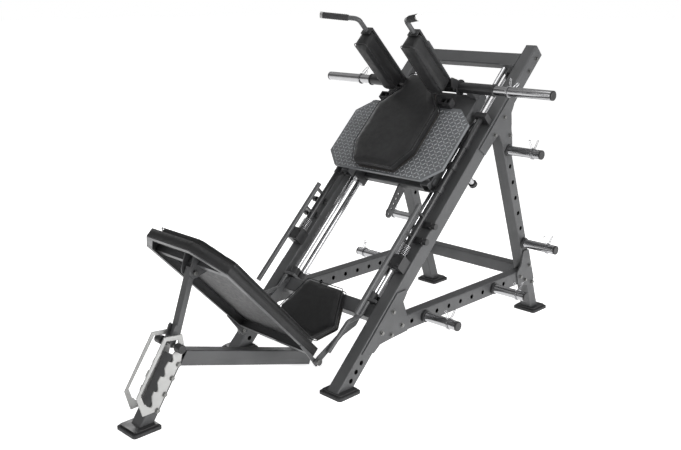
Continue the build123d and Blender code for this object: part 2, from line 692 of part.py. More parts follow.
def on_grip(length_left):
    """Place on the handle's last leg, length_left before its tip."""
    tip, knee = Vector(*HANDLE_TIP), Vector(*HANDLE_KNEE)
    spot = tip - (tip - knee).normalized() * length_left
    return spot.X, spot.Y, spot.Z


def carriage_handle():
    path = FilletPolyline(HANDLE_ROOT, HANDLE_KNEE, on_grip(4), radius=38)
    return on_slope(sweep(Plane(origin=HANDLE_ROOT, z_dir=path % 0) * Circle(HANDLE_D / 2), path=path))


def handle_grip():
    return on_slope(rod(on_grip(150), on_grip(14), GRIP_D, HANDLE_D))


def grip_end_cap():
    ring = rod(on_grip(14), on_grip(4), GRIP_D + 2, HANDLE_D)
    return on_slope(ring + rod(on_grip(4), HANDLE_TIP, GRIP_D + 2))


def sleeve_tube():
    """Black cross tube of the carriage, with a stop flange at each end."""
    along, depth = SLEEVE_AXIS
    tube = rod((-SLEEVE_START, depth, along), (SLEEVE_START, depth, along), 58, SLEEVE_D)
    flange = rod((SLEEVE_START - 6, depth, along), (SLEEVE_START, depth, along), 66, SLEEVE_D)
    return on_slope(tube + flange + mirror(flange, Plane.YZ))


def weight_sleeve():
    along, depth = SLEEVE_AXIS
    start, end = (SLEEVE_START - 60, depth, along), (SLEEVE_END, depth, along)
    return on_slope(rod(start, end, SLEEVE_D, SLEEVE_D - 6))


def sleeve_cap():
    along, depth = SLEEVE_AXIS
    return on_slope(end_cap(SLEEVE_END, depth, along, SLEEVE_D, 9))


def perforated_arm():
    """Flat tapered hanger with five holes below the carriage's lower tie."""
    top, low, top_half, low_half = (90, 1230), (112, 1062), 32, 22
    face = make_face(Polyline((top[0] - top_half, top[1]), (top[0] + top_half, top[1]),
                              (low[0] + low_half, low[1]), (low[0] - low_half, low[1]), close=True))
    plane = Plane(origin=(-4, 0, 0), x_dir=(0, 1, 0), z_dir=(1, 0, 0))
    arm = extrude(plane * face, 8) + rod((-4, *low), (4, *low), 2 * low_half)
    for step in range(5):
        share = step / 5.4
        depth, along = low[0] + (top[0] - low[0]) * share, low[1] + (top[1] - low[1]) * share
        arm -= rod((-10, depth, along), (10, depth, along), 14)
    return on_slope(arm)


# ---------------------------------------------------------------- safety shaft
SHAFT_LOW, SHAFT_HIGH = 696.0, 1676.0
SAFETY_BLOCKS = ((700, 772), (1640, 1672))


def safety_shaft():
    """Shaft along the rail with three catch lugs and two lever arms."""
    shaft = rod((SHAFT_X, SHAFT_DEPTH, SHAFT_LOW), (SHAFT_X, SHAFT_DEPTH, SHAFT_HIGH), SHAFT_D)
    for along in (1180, 1330, 1470):
        shaft += box(320, SHAFT_X, SHAFT_DEPTH - 9, SHAFT_DEPTH + 9, along - 14, along + 14)
        shaft += rod((SHAFT_X, SHAFT_DEPTH, along - 18), (SHAFT_X, SHAFT_DEPTH, along + 18), SHAFT_D + 10)
    for along in (880, 1004):
        arm = box(SHAFT_X - 11, SHAFT_X + 11, LEVER_DEPTH, SHAFT_DEPTH, along, along + 10)
        shaft += arm - rod((SHAFT_X, LEVER_DEPTH, along - 5), (SHAFT_X, LEVER_DEPTH, along + 15), LEVER_D)
    return on_slope(shaft)


def safety_lever():
    """Long lever tube held by the two arms."""
    return on_slope(rod((SHAFT_X, LEVER_DEPTH, 397), (SHAFT_X, LEVER_DEPTH, 1037), LEVER_D))


def safety_block(low, high):
    """Pillow block on the rail's front face with a running fit on the shaft."""
    block = fillet(box(332, 402, -68, 0, low, high).edges().filter_by(Axis.X), 5)
    bore = rod((SHAFT_X, SHAFT_DEPTH, low - 5), (SHAFT_X, SHAFT_DEPTH, high + 5), SHAFT_D + 0.12)
    return on_slope(block - bore)


def block_bolts():
    heads = []
    for x in (344, 390):
        for along in (714, 758):
            plane = Plane(origin=(x, -68, along), z_dir=(0, -1, 0))
            heads.append(on_slope(extrude(plane * RegularPolygon(7, 6), 6)))
    return heads


def return_spring():
    """Torsion spring round the foot of the safety shaft."""
    coil = Helix(pitch=8.5, height=66, radius=23, center=(SHAFT_X, SHAFT_DEPTH, 774.4), direction=(0, 0, 1))
    wire = sweep(Plane(origin=coil @ 0, z_dir=coil % 0) * Circle(2.4), path=coil, is_frenet=True)
    return on_slope(wire)


def stop_peg(along):
    """Cross peg with a round knob, on a saddle on the rail's front face."""
    saddle = box(344, 404, -21, 0, along - 13, along + 13)
    peg = rod((338, -12, along), (424, -12, along), 15)
    knob = rod((416, -12, along), (438, -12, along), 32)
    return on_slope(saddle + peg + knob)


def band_peg():
    """Chromed peg behind the rail with a black cap."""
    x = HALF_WIDTH - RAIL_W / 2
    return (on_slope(rod((x, RAIL_D, 1364), (x, 142, 1364), 30)),
            on_slope(rod((x, 142, 1364), (x, 160, 1364), 44)))


# ---------------------------------------------------------------- write every sub-part
def save_frame():
    for name, build in (("main_rail", main_rail), ("base_rail", base_rail), ("upright", upright)):
        right = build()
        save(name + "_right", right)
        save(name + "_left", mirror(right, Plane.YZ))
    save("rear_cross_member", rear_cross_member())
    save("top_cross_member", top_cross_member())
    save("seat_supports", [seat_cross_member(), seat_carrier_tube()])
    save("spine_tube", spine_tube())
    save("front_post", front_post())
    rings = [on_floor(spacer_ring(y, z)) for y, z in RACK_BOLTS]
    save("rack_plates", both_sides([rack_plate()]))
    save("gusset_plates", both_sides(gusset_plates()))
    rack_bolts = [on_floor(bolt(RACK_X + RACK_T, y, z, RACK_X + RACK_T - 35)) for y, z in RACK_BOLTS]
    save("frame_bolts", both_sides(gusset_bolts() + top_bolts() + rack_bolts + rings))
    save("foot_shoes", [foot_shoe(x, y) for x, y in foot_places()])
    save("foot_plates", [foot_plate(x, y) for x, y in foot_places()])


def save_guides_and_horns():
    save("guide_rods", both_sides([guide_rod(depth) for depth in ROD_DEPTHS]))
    save("rod_brackets", both_sides([rod_bracket(along, 14, -12, 92) for along in (ROD_LOW - 14, ROD_HIGH)]))
    save("rod_bumpers", both_sides([rod_bumper(depth) for depth in ROD_DEPTHS]))
    peg, peg_cap = band_peg()
    save("horn_flanges", both_sides([horn_flange(y, z) for y, z in HORN_PLACES]))
    save("storage_horns", both_sides([storage_horn(y, z) for y, z in HORN_PLACES] + [peg]))
    caps = [on_floor(end_cap(HALF_WIDTH + HORN_LENGTH, y, z, HORN_D, HORN_CAP_T)) for y, z in HORN_PLACES]
    save("horn_caps", both_sides(caps + [peg_cap]))
    collars = [on_floor(spring_collar(566, y, z)) for y, z in HORN_PLACES]
    save("horn_collars_right", collars)
    save("horn_collars_left", mirrored(collars))


def save_seat_and_backrest():
    save("seat_pad", seat_pad())
    save("seat_board", seat_board())
    save("hinge_side_plates", both_sides([on_floor(hinge_side_plate())]))
    save("hinge_pins", hinge_pins())
    save("seat_handles", both_sides([seat_handle()]))
    save("backrest_tray", backrest_tray())
    save("tray_brackets", [strut_mount()] + hinge_ears())
    save("strut_bolt", strut_bolt())
    save("backrest_pad", backrest_pad())
    tube, ears = strut()
    save("strut", tube + ears)
    pin, knobs = strut_pin()
    save("strut_pin", pin)
    save("strut_knobs", knobs)


def save_carriage():
    save("carriage_frame", carriage_frame())
    save("bearing_housings", both_sides([bearing_housing(*span) for span in HOUSINGS]))
    save("linear_bushes", both_sides([linear_bush(d, *span) for d in ROD_DEPTHS for span in HOUSINGS]))
    save("push_plate", push_plate())
    save("back_pad", back_pad())
    save("back_board", back_board())
    for name, build in (("shoulder_pads", shoulder_pad), ("carriage_handles", carriage_handle),
                        ("handle_grips", handle_grip),
                        ("grip_end_caps", grip_end_cap), ("weight_sleeves", weight_sleeve),
                        ("sleeve_caps", sleeve_cap)):
        save(name, both_sides([build()]))
    save("shoulder_brackets", both_sides([shoulder_bracket()] + pad_clamp()))
    save("sleeve_tube", sleeve_tube())
    save("perforated_arm", perforated_arm())
    along, depth = SLEEVE_AXIS
    collar = on_slope(spring_collar(510, depth, along))
    save("sleeve_collar_right", collar)
    save("sleeve_collar_left", mirror(collar, Plane.YZ))


def save_safety():
    shaft, lever = safety_shaft(), safety_lever()
    save("safety_shaft_right", shaft)
    save("safety_shaft_left", mirror(shaft, Plane.YZ))
    save("safety_lever_right", lever)
    save("safety_lever_left", mirror(lever, Plane.YZ))
    save("safety_blocks", both_sides([safety_block(*span) for span in SAFETY_BLOCKS] + block_bolts()))
    save("return_springs", both_sides([return_spring()]))
    save("stop_pegs", both_sides([stop_peg(895), stop_peg(989)]))


save_frame()
save_guides_and_horns()
save_seat_and_backrest()
save_carriage()
save_safety()
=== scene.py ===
"""Looks of the leg press machine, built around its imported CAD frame.

Metres, with +Z up and +X towards the machine's right side.
"""
import json
import math

import bmesh
import bpy
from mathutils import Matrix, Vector


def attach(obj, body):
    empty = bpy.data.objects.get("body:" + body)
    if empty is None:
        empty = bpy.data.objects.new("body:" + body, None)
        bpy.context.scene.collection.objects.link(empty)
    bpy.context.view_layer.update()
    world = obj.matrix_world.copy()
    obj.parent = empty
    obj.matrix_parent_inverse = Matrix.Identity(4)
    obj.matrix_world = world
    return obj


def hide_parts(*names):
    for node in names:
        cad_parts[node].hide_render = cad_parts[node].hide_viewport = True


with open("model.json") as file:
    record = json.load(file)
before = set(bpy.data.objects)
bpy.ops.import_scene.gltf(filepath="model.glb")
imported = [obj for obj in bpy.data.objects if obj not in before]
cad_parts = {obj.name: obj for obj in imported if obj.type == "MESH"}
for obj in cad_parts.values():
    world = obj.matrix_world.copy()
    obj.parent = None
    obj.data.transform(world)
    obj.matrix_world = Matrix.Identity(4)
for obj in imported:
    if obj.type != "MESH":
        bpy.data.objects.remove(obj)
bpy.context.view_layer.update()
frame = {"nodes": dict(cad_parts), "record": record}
scene = bpy.context.scene
nodes = frame["nodes"]

# ---------------------------------------------------------------- places in the frame
C45 = math.sqrt(0.5)
RECORD_JOINTS = {joint["name"]: joint for joint in frame["record"]["behaviour"]["joints"]}
SHAFT = Vector(RECORD_JOINTS["safety_lever_right"]["pos_m"])
SHAFT_DEPTH = -0.040                        # the safety shaft lies in front of the rails
Y_SHIFT = SHAFT.y - SHAFT.z - 2 * C45 * SHAFT_DEPTH     # y where the rails' front faces meet the floor
TRAY_ANGLE = math.radians(46.3)
TRAY_SETBACK, TRAY_LIFT = 0.0206, 0.200     # of the tray's lower edge, from that line
TRAY_ORIGIN = Vector((0, Y_SHIFT - TRAY_SETBACK, TRAY_LIFT))
TRAY_DOWN = Vector((0, math.cos(TRAY_ANGLE), -math.sin(TRAY_ANGLE)))
TRAY_OUT = Vector((0, math.sin(TRAY_ANGLE), math.cos(TRAY_ANGLE)))


def slope(x, depth, along):
    """A place given across, behind the rails' front faces, and up along the slope."""
    return Vector((x, Y_SHIFT + C45 * (along + depth), C45 * (along - depth)))


def tray(x, down, height):
    """A place given across the backrest tray, down it, and above its underside."""
    return TRAY_ORIGIN + Vector((x, 0, 0)) + TRAY_DOWN * down + TRAY_OUT * height


# ---------------------------------------------------------------- materials
RAMP_START, RAMP_END = 0.35, 0.65


def node_tree(name):
    """A new material with its nodes, its shader and the object's own coordinates."""
    material = bpy.data.materials.new(name)
    material.use_nodes = True
    tree = material.node_tree
    shader = tree.nodes["Principled BSDF"]
    place = tree.nodes.new("ShaderNodeTexCoord")
    return material, tree, shader, place.outputs["Object"]


def noise(tree, place, scale, detail=4.0, roughness=0.55):
    texture = tree.nodes.new("ShaderNodeTexNoise")
    texture.inputs["Scale"].default_value = scale
    texture.inputs["Detail"].default_value = detail
    texture.inputs["Roughness"].default_value = roughness
    tree.links.new(place, texture.inputs["Vector"])
    return texture.outputs["Fac"]


def ramp(tree, value, low, high):
    """Colours or greys spread over a 0 to 1 value."""
    node = tree.nodes.new("ShaderNodeValToRGB")
    node.color_ramp.elements[0].position = RAMP_START
    node.color_ramp.elements[1].position = RAMP_END
    node.color_ramp.elements[0].color = (*low, 1)
    node.color_ramp.elements[1].color = (*high, 1)
    tree.links.new(value, node.inputs["Fac"])
    return node.outputs["Color"]


def grey(value):
    return (value, value, value)


def shade(colour, factor, lift=0.0):
    """The colour made darker or lighter."""
    return tuple(channel * factor + lift for channel in colour)


def mottle(tree, place, scale, low, high):
    """Two colours or greys mixed in soft patches."""
    return ramp(tree, noise(tree, place, scale), low, high)


def bump(tree, height, strength, distance, normal=None):
    node = tree.nodes.new("ShaderNodeBump")
    node.inputs["Strength"].default_value = strength
    node.inputs["Distance"].default_value = distance
    tree.links.new(height, node.inputs["Height"])
    if normal:
        tree.links.new(normal, node.inputs["Normal"])
    return node.outputs["Normal"]


def soft_edges(tree, radius):
    """A normal that rounds the edges of machined and folded steel."""
    node = tree.nodes.new("ShaderNodeBevel")
    node.samples = 4
    node.inputs["Radius"].default_value = radius
    return node.outputs["Normal"]


def edge_mask(tree, radius):
    """1 on sharp edges and 0 on flat faces, from how far a rounded normal leans."""
    bevel = soft_edges(tree, radius)
    geometry = tree.nodes.new("ShaderNodeNewGeometry")
    dot = tree.nodes.new("ShaderNodeVectorMath")
    dot.operation = "DOT_PRODUCT"
    tree.links.new(bevel, dot.inputs[0])
    tree.links.new(geometry.outputs["Normal"], dot.inputs[1])
    lean = tree.nodes.new("ShaderNodeMapRange")
    lean.inputs["From Min"].default_value = 0.995
    lean.inputs["From Max"].default_value = 0.90
    tree.links.new(dot.outputs["Value"], lean.inputs["Value"])
    return lean.outputs["Result"]


def mix_colour(tree, factor, first, second):
    node = tree.nodes.new("ShaderNodeMix")
    node.data_type = "RGBA"
    tree.links.new(factor, node.inputs["Factor"])
    for value, socket in ((first, node.inputs["A"]), (second, node.inputs["B"])):
        if isinstance(value, tuple):
            socket.default_value = (*value, 1)
        else:
            tree.links.new(value, socket)
    return node.outputs["Result"]


def multiply(tree, first, second):
    node = tree.nodes.new("ShaderNodeMath")
    node.operation = "MULTIPLY"
    tree.links.new(first, node.inputs[0])
    if isinstance(second, float):
        node.inputs[1].default_value = second
    else:
        tree.links.new(second, node.inputs[1])
    return node.outputs["Value"]


def painted_steel(name, colour, rough=0.42, texture=0.25, wear=0.5):
    """Powder coat: mottled colour, orange-peel texture, and lighter rubbed edges."""
    material, tree, shader, place = node_tree(name)
    base = mottle(tree, place, 7.0, shade(colour, 0.90), shade(colour, 1.10))
    patches = mottle(tree, place, 55.0, grey(0), grey(wear))
    rubbed = multiply(tree, edge_mask(tree, 0.0016), patches)
    edge_colour = shade(colour, 1.7, 0.02)
    tree.links.new(mix_colour(tree, rubbed, base, edge_colour), shader.inputs["Base Color"])
    roughness = mottle(tree, place, 22.0, grey(rough - 0.05), grey(rough + 0.07))
    tree.links.new(roughness, shader.inputs["Roughness"])
    peel = noise(tree, place, 900.0, 2.0)
    tree.links.new(bump(tree, peel, texture, 0.0004, soft_edges(tree, 0.0012)), shader.inputs["Normal"])
    shader.inputs["Specular IOR Level"].default_value = 0.5
    return material


def vinyl(name, colour):
    """Upholstery vinyl: fine pebbled grain, faint creases and a soft sheen."""
    material, tree, shader, place = node_tree(name)
    base = mottle(tree, place, 9.0, shade(colour, 0.8), shade(colour, 1.25))
    tree.links.new(base, shader.inputs["Base Color"])
    grain = tree.nodes.new("ShaderNodeTexVoronoi")
    grain.feature = "SMOOTH_F1"
    grain.inputs["Scale"].default_value = 620.0
    tree.links.new(place, grain.inputs["Vector"])
    creases = bump(tree, noise(tree, place, 24.0, 5.0), 0.18, 0.004)
    pebbles = bump(tree, grain.outputs["Distance"], 0.35, 0.0006, creases)
    tree.links.new(pebbles, shader.inputs["Normal"])
    roughness = mottle(tree, place, 40.0, grey(0.46), grey(0.60))
    tree.links.new(roughness, shader.inputs["Roughness"])
    shader.inputs["Specular IOR Level"].default_value = 0.35
    shader.inputs["Sheen Weight"].default_value = 0.04
    shader.inputs["Sheen Roughness"].default_value = 0.4
    return material


def bare_metal(name, colour, rough, brushed=0.0, wear=0.0):
    """Chrome or plated steel with faint smears and, where brushed, fine rings."""
    material, tree, shader, place = node_tree(name)
    smears = noise(tree, place, 18.0, 5.0)
    base = ramp(tree, smears, shade(colour, 0.93), colour)
    if wear:
        worn = multiply(tree, edge_mask(tree, 0.001), wear)
        base = mix_colour(tree, worn, base, shade(colour, 0.6))
    tree.links.new(base, shader.inputs["Base Color"])
    tree.links.new(ramp(tree, smears, grey(rough * 0.8), grey(rough * 1.5)), shader.inputs["Roughness"])
    shader.inputs["Metallic"].default_value = 1.0
    if brushed:
        fine = noise(tree, place, 1400.0, 1.0)
        rings = bump(tree, fine, brushed, 0.0002, soft_edges(tree, 0.0008))
        tree.links.new(rings, shader.inputs["Normal"])
    return material


def moulded(name, colour, rough, grain=500.0, strength=0.3):
    """Moulded rubber or plastic with a spark-eroded grain."""
    material, tree, shader, place = node_tree(name)
    base = mottle(tree, place, 14.0, shade(colour, 0.8), shade(colour, 1.3))
    dusty = multiply(tree, edge_mask(tree, 0.0015), 0.45)
    edge_colour = shade(colour, 2.2, 0.01)
    tree.links.new(mix_colour(tree, dusty, base, edge_colour), shader.inputs["Base Color"])
    roughness = mottle(tree, place, 60.0, grey(rough - 0.06), grey(rough + 0.08))
    tree.links.new(roughness, shader.inputs["Roughness"])
    grains = noise(tree, place, grain, 3.0)
    pitted = bump(tree, grains, strength, 0.0005, soft_edges(tree, 0.0014))
    tree.links.new(pitted, shader.inputs["Normal"])
    return material


def plywood(name):
    """Dark stained plywood: long grain and thin plies."""
    material, tree, shader, place = node_tree(name)
    stretch = tree.nodes.new("ShaderNodeMapping")
    stretch.inputs["Scale"].default_value = (30, 4, 4)
    tree.links.new(place, stretch.inputs["Vector"])
    grain = noise(tree, stretch.outputs["Vector"], 6.0, 6.0, 0.7)
    stain = ramp(tree, grain, (0.018, 0.016, 0.014), (0.055, 0.046, 0.038))
    tree.links.new(stain, shader.inputs["Base Color"])
    shader.inputs["Roughness"].default_value = 0.62
    tree.links.new(bump(tree, grain, 0.3, 0.0006), shader.inputs["Normal"])
    return material


def knurled(name, colour):
    """Crossed fine ridges, as turned into a metal end cap."""
    material, tree, shader, place = node_tree(name)
    checks = tree.nodes.new("ShaderNodeTexVoronoi")
    checks.distance = "CHEBYCHEV"
    checks.inputs["Scale"].default_value = 800.0
    tree.links.new(place, checks.inputs["Vector"])
    base = mottle(tree, place, 90.0, shade(colour, 0.8), colour)
    tree.links.new(base, shader.inputs["Base Color"])
    tree.links.new(bump(tree, checks.outputs["Distance"], 0.6, 0.0006), shader.inputs["Normal"])
    shader.inputs["Metallic"].default_value = 0.85
    shader.inputs["Roughness"].default_value = 0.34
    return material


GRAPHITE = (0.062, 0.063, 0.065)
MATERIALS = {
    "powder_coat": painted_steel("powder_coat", GRAPHITE),
    "black_paint": painted_steel("black_paint", (0.018, 0.018, 0.019), 0.34, 0.12, 0.35),
    "tread_plate": painted_steel("tread_plate", (0.115, 0.120, 0.126), 0.40, 0.2, 0.8),
    # lighter, shinier paint for the raised lozenge tops: partly polish, partly a painted highlight
    # where the tops catch the light
    "tread_wear_and_highlight": painted_steel("tread_wear_and_highlight", (0.30, 0.31, 0.32), 0.34, 0.1, 0.8),
    "rack_steel": painted_steel("rack_steel", (0.40, 0.40, 0.393), 0.40, 0.1, 0.2),
    "vinyl": vinyl("vinyl", (0.010, 0.010, 0.0105)),
    "piping": moulded("piping", (0.012, 0.012, 0.013), 0.42, 900.0, 0.15),
    "chrome": bare_metal("chrome", (0.46, 0.46, 0.47), 0.11),
    "bright_steel": bare_metal("bright_steel", (0.22, 0.22, 0.215), 0.30, 0.09, 0.6),
    "spring_steel": bare_metal("spring_steel", (0.42, 0.42, 0.43), 0.20),
    "board": plywood("board"),
    # a dark board colour that paints the shade inside the hollow tray
    "painted_shade_board": moulded("painted_shade_board", (0.034, 0.034, 0.035), 0.55, 260.0, 0.2),
    "black_plastic": moulded("black_plastic", (0.014, 0.014, 0.015), 0.40),
    "rubber": moulded("rubber", (0.017, 0.017, 0.018), 0.62, 380.0, 0.45),
    "light_plastic": knurled("light_plastic", (0.36, 0.36, 0.355)),
}
# each part in the record wears the look named by its material slot
for part in frame["record"]["subparts"]:
    mesh = nodes[part["node"]].data
    mesh.materials.clear()
    mesh.materials.append(MATERIALS[part["material_slot"]])


# ---------------------------------------------------------------- mesh helpers
TUBE_RESOLUTION, CORNER_STEPS = 2, 5


def shade_smooth(mesh):
    mesh.polygons.foreach_set("use_smooth", [True] * len(mesh.polygons))


def new_object(name, mesh, material, body, smooth=True):
    """A piece that rides on a body and wears one material."""
    thing = bpy.data.objects.new(name, mesh)
    scene.collection.objects.link(thing)
    mesh.materials.append(MATERIALS[material])
    if smooth:
        shade_smooth(mesh)
    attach(thing, body)
    return thing


def solid_from(name, build):
    """A mesh filled by build(bm), with its normals made outward."""
    bm = bmesh.new()
    build(bm)
    bmesh.ops.recalc_face_normals(bm, faces=bm.faces)
    mesh = bpy.data.meshes.new(name)
    bm.to_mesh(mesh)
    bm.free()
    return mesh


def evaluated_mesh(thing):
    """The thing's mesh with its modifiers applied."""
    graph = bpy.context.evaluated_depsgraph_get()
    return bpy.data.meshes.new_from_object(thing.evaluated_get(graph))


def closed_tube(points, radius):
    """Mesh of a round tube that follows a closed route, as piping does."""
    curve = bpy.data.curves.new("route", "CURVE")
    curve.dimensions = "3D"
    curve.bevel_depth = radius
    curve.bevel_resolution = TUBE_RESOLUTION
    spline = curve.splines.new("POLY")
    spline.points.add(len(points) - 1)
    for target, point in zip(spline.points, points):
        target.co = (*point, 1)
    spline.use_cyclic_u = True
    holder = bpy.data.objects.new("route", curve)
    scene.collection.objects.link(holder)
    mesh = evaluated_mesh(holder)
    bpy.data.objects.remove(holder)
    bpy.data.curves.remove(curve)
    mesh.materials.clear()
    return mesh


def rounded(outline, radius):
    """An outline with each corner turned into an arc."""
    points = []
    count = len(outline)
    for i, corner in enumerate(outline):
        here = Vector(corner)
        before = (Vector(outline[i - 1]) - here).normalized()
        after = (Vector(outline[(i + 1) % count]) - here).normalized()
        half_angle = math.acos(max(-1, min(1, before.dot(after)))) / 2
        reach = radius / math.tan(half_angle)
        start, end = here + before * reach, here + after * reach
        for step in range(CORNER_STEPS + 1):
            share = step / CORNER_STEPS
            bend = start * (1 - share) ** 2 + here * 2 * share * (1 - share)
            points.append(bend + end * share ** 2)
    return points


def mirrored_outline(half):
    """An outline from its right half, mirrored across the middle of the machine."""
    return half + [(-x, along) for x, along in reversed(half)]


# ---------------------------------------------------------------- upholstery
PAD_SHRINK, PAD_VOXEL, PAD_CAP = 0.004, 0.006, 0.0065   # start inset, remesh size, most swell
PAD_BASE, PAD_HEADROOM, PAD_SHOULDER, PAD_TUCK = 0.0015, 0.005, 0.008, 0.002
PAD_CORNER, PAD_CROWN, PAD_OVERFILL, PAD_FILL = 0.014, 0.002, 0.003, 0.85
CLOTH_FRAMES, CLOTH_PRESSURE = 20, 4.0
PIPING_RADIUS, PIPING_DROP, PIPING_BASE = 0.0024, 0.009, 0.005


def pad_start(outline, thickness, corner):
    """Prism a little smaller than the pad, in the pad's own across, along and height."""
    def build(bm):
        inner = rounded(outline, corner - PAD_TUCK)
        low = [bm.verts.new((point.x, point.y, PAD_BASE)) for point in inner]
        high = [bm.verts.new((point.x, point.y, thickness - PAD_HEADROOM)) for point in inner]
        bm.faces.new(low)
        top = bm.faces.new(high)
        for i in range(len(inner)):
            j = (i + 1) % len(inner)
            bm.faces.new((low[i], low[j], high[j], high[i]))
        rim = list(top.edges)
        bmesh.ops.bevel(bm, geom=rim, offset=PAD_SHOULDER, segments=3, affect="EDGES")
    return build


def inflate(pad):
    """Voxel remesh, then pressure cloth; returns each vertex's start and end place."""
    remesh = pad.modifiers.new("remesh", "REMESH")
    remesh.mode = "VOXEL"
    remesh.voxel_size = PAD_VOXEL
    skin = evaluated_mesh(pad)
    pad.modifiers.clear()
    pad.data = skin
    start = [vertex.co.copy() for vertex in skin.vertices]
    cloth = pad.modifiers.new("cloth", "CLOTH")
    cloth.settings.use_pressure = True
    cloth.settings.uniform_pressure_force = CLOTH_PRESSURE
    cloth.settings.effector_weights.gravity = 0.0
    cloth.settings.quality = 5
    cloth.point_cache.frame_start, cloth.point_cache.frame_end = 1, CLOTH_FRAMES
    for step in range(1, CLOTH_FRAMES + 1):
        scene.frame_set(step)
    swollen = evaluated_mesh(pad)
    pad.modifiers.clear()
    scene.frame_set(1)
    return start, [vertex.co.copy() for vertex in swollen.vertices]


def upholstered(name, outline, thickness, place, body, node, channels=(), corner=PAD_CORNER):
    """A crowned pad: cloth simulation, a capped swell, then channels and piping."""
    centre = sum((Vector(point) for point in outline), Vector((0, 0))) / len(outline)
    shrunk = [Vector(p) - (Vector(p) - centre).normalized() * PAD_SHRINK for p in outline]
    pad = bpy.data.objects.new(name, solid_from(name, pad_start(shrunk, thickness, corner)))
    scene.collection.objects.link(pad)
    start, end = inflate(pad)
    half_span = max(abs(point[0]) for point in outline)
    for vertex, before, after in zip(pad.data.vertices, start, end):
        swell = after - before
        if swell.length > PAD_CAP:
            swell *= PAD_CAP / swell.length
        co = before + swell
        top_share = max(0.0, min(1.0, (co.z / thickness - 0.5) * 2))
        across = (co.x - centre.x) / half_span
        co.z += PAD_CROWN * top_share * (1 - across * across)
        for along, depth, width in channels:
            co.z -= depth * top_share * math.exp(-((co.y - along) / width) ** 2)
        co.z = max(0.0, min(thickness + PAD_OVERFILL, co.z))
        vertex.co = place(*co)
    pad.data.update()
    subdivision = pad.modifiers.new("subdivision", "SUBSURF")
    subdivision.levels = subdivision.render_levels = 1
    new_skin = evaluated_mesh(pad)
    pad.modifiers.clear()
    pad.data = new_skin
    pad.data.materials.clear()
    pad.data.materials.append(MATERIALS["vinyl"])
    shade_smooth(pad.data)
    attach(pad, body)
    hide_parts(node)
    edge = rounded(outline, corner)
    seams = (("top", thickness - PIPING_DROP, 0.0015), ("base", PIPING_BASE, 0.002))
    for label, height, inset in seams:
        route = [place(*(p - (p - centre).normalized() * inset), height) for p in edge]
        tube = closed_tube(route, PIPING_RADIUS)
        new_object(f"{name}_piping_{label}", tube, "piping", body)


# outlines are across and up the slope, or across and down the tray, as the CAD pads are
SEAT_OUTLINE = mirrored_outline([(0.120, 0.232), (0.206, 0.325), (0.128, 0.525)])
BACK_OUTLINE = mirrored_outline([(0.136, 1.163), (0.204, 1.291), (0.204, 1.565), (0.150, 1.632),
                                 (0.110, 1.680), (0.104, 1.782)])
SEAT_BASE, SEAT_T = 0.0097, 0.0477
BACK_BASE, BACK_T = -0.1553, 0.0557
REST_BASE, REST_T = 0.0463, 0.0357
BACK_RELIEF_ALONG, BACK_RELIEF_LIFT = 1.731, 0.0135     # the pad is thinner in front of the cross tube
REST_OUTLINE = mirrored_outline([(0.232, 0.010), (0.266, -0.660), (0.140, -0.800)])
SHOULDER_X0, SHOULDER_X1 = 0.116, 0.206
SHOULDER_BACK, SHOULDER_T = 1.7317, 0.0897
SHOULDER_N0, SHOULDER_N1 = -0.577, -0.214
SHOULDER_CORNER = 0.024
RIB_STARTS, RIB_PITCH, RIBS_IN_A_ROW = (-0.10, -0.45), 0.045, 5
RIB_DEPTH = RIB_WIDTH = 0.006


def seat_place(x, along, height):
    return slope(x, SEAT_BASE - height, along)


def back_place(x, along, height):
    lift = BACK_RELIEF_LIFT if along > BACK_RELIEF_ALONG else 0.0
    return slope(x, BACK_BASE - max(height, lift), along)


def rest_place(x, down, height):
    return tray(x, down, REST_BASE + height)


def shoulder_place(x, depth, height):
    return slope(x, depth, SHOULDER_BACK - height)


upholstered("seat_cushion", SEAT_OUTLINE, SEAT_T, seat_place, "frame", "seat_pad")
upholstered("back_cushion", BACK_OUTLINE, BACK_T, back_place, "carriage", "back_pad")
rib_places = [start - RIB_PITCH * i for start in RIB_STARTS for i in range(RIBS_IN_A_ROW)]
ribs = [(down, RIB_DEPTH, RIB_WIDTH) for down in rib_places]
upholstered("backrest_cushion", REST_OUTLINE, REST_T, rest_place, "backrest", "backrest_pad", ribs)
for side, label in ((1, "right"), (-1, "left")):
    x0, x1 = sorted((side * SHOULDER_X0, side * SHOULDER_X1))
    box = [(x0, SHOULDER_N0), (x1, SHOULDER_N0), (x1, SHOULDER_N1), (x0, SHOULDER_N1)]
    upholstered(f"shoulder_cushion_{label}", box, SHOULDER_T, shoulder_place,
                "carriage", "shoulder_pads", corner=SHOULDER_CORNER)


# ---------------------------------------------------------------- tread plate
PLATE_FACE = -0.145
PLATE_HALF = ((0.302, 1.157), (0.396, 1.244), (0.396, 1.534), (0.302, 1.618))
TREAD_PITCH, TREAD_LENGTH, TREAD_WIDTH, TREAD_HEIGHT = 0.0210, 0.0220, 0.0064, 0.0016
TREAD_MARGIN, TREAD_SIDES = 0.012, 12
TREAD_RIMS = ((1.0, 0.0), (0.72, 0.75), (0.35, 1.0))    # share of the outline, share of the height


def plate_half_width(along):
    """Half-width of the octagonal push plate at a height along the slope."""
    (x0, t0), (x1, t1), (x2, t2), (x3, t3) = PLATE_HALF
    if along < t1:
        return x0 + (x1 - x0) * (along - t0) / (t1 - t0)
    if along > t2:
        return x2 + (x3 - x2) * (along - t2) / (t3 - t2)
    return x1


